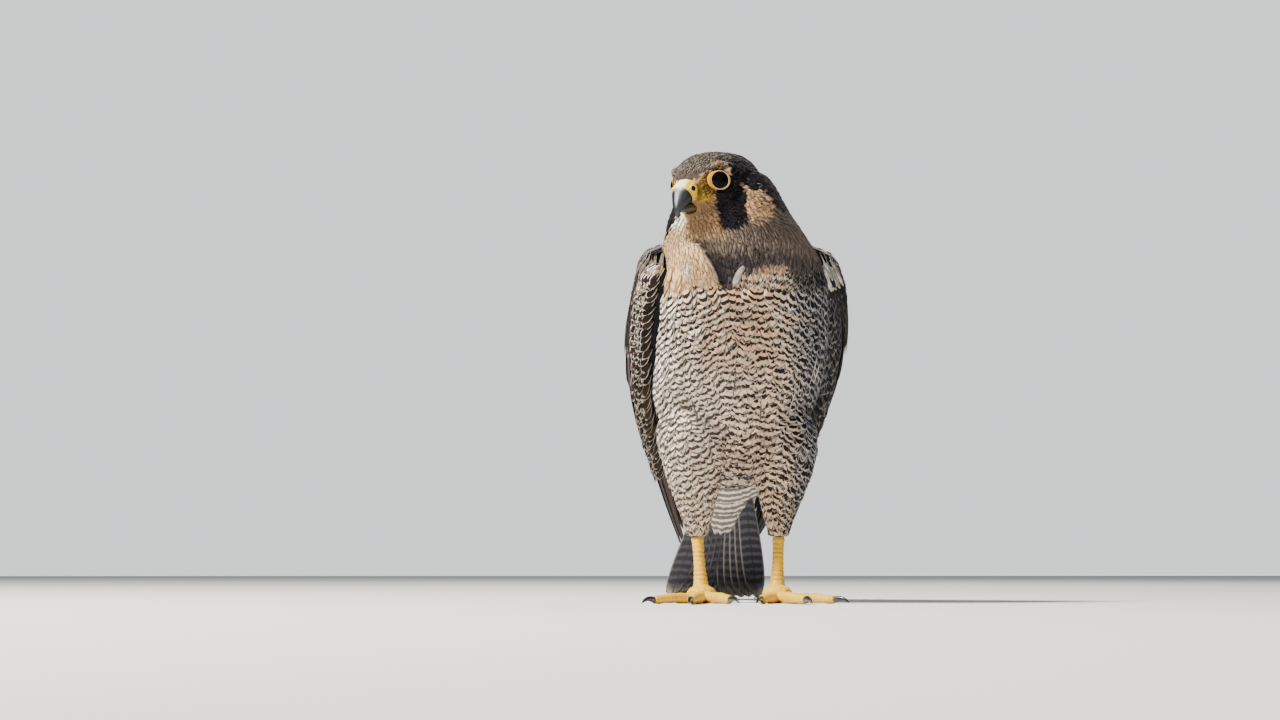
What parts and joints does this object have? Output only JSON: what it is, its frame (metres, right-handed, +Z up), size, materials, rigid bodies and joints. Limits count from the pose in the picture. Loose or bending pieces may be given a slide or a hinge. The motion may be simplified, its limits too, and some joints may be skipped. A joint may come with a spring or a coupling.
{
  "type": "peregrine falcon",
  "caption": "Life-size peregrine falcon standing on both feet with folded wings, its head turned to its right and its tail laid back to the floor; a still model.",
  "frame": {"origin": "middle of the bounding box on the floor", "axes": "+Z up; the bird faces -Y and its left side is at +X; the head is turned to its right, toward -X"},
  "size_m": [0.1754, 0.2955, 0.3279],
  "materials": {
    "head_feathers": "matt small feathers, brown-black crown and cheek stripe, buff throat and cheek",
    "breast_feathers": "matt small feathers, buff-white with dark bars",
    "wing_feathers": "slate brown flight feathers with pale fringes and bars",
    "bare_skin": "waxy yellow skin, scaled on the feet",
    "bill_horn": "smooth blue-grey horn, darker at the tip",
    "claw_horn": "smooth black horn",
    "eye": "wet dark brown, almost black"
  },
  "bodies": {
    "root": {"head": "head_feathers", "neck": "breast_feathers", "torso": "breast_feathers", "thigh_left": "breast_feathers", "thigh_right": "breast_feathers", "wing_left": "wing_feathers", "wing_right": "wing_feathers", "tail": "wing_feathers", "cere": "bare_skin", "bill_upper": "bill_horn", "bill_lower": "bill_horn", "eye_left": "eye", "eye_right": "eye", "foot_left": "bare_skin", "foot_right": "bare_skin", "toe_middle_left": "bare_skin", "toe_inner_left": "bare_skin", "toe_outer_left": "bare_skin", "toe_hind_left": "bare_skin", "toe_middle_right": "bare_skin", "toe_inner_right": "bare_skin", "toe_outer_right": "bare_skin", "toe_hind_right": "bare_skin", "claw_middle_left": "claw_horn", "claw_inner_left": "claw_horn", "claw_outer_left": "claw_horn", "claw_hind_left": "claw_horn", "claw_middle_right": "claw_horn", "claw_inner_right": "claw_horn", "claw_outer_right": "claw_horn", "claw_hind_right": "claw_horn"}
  },
  "joints": []
}
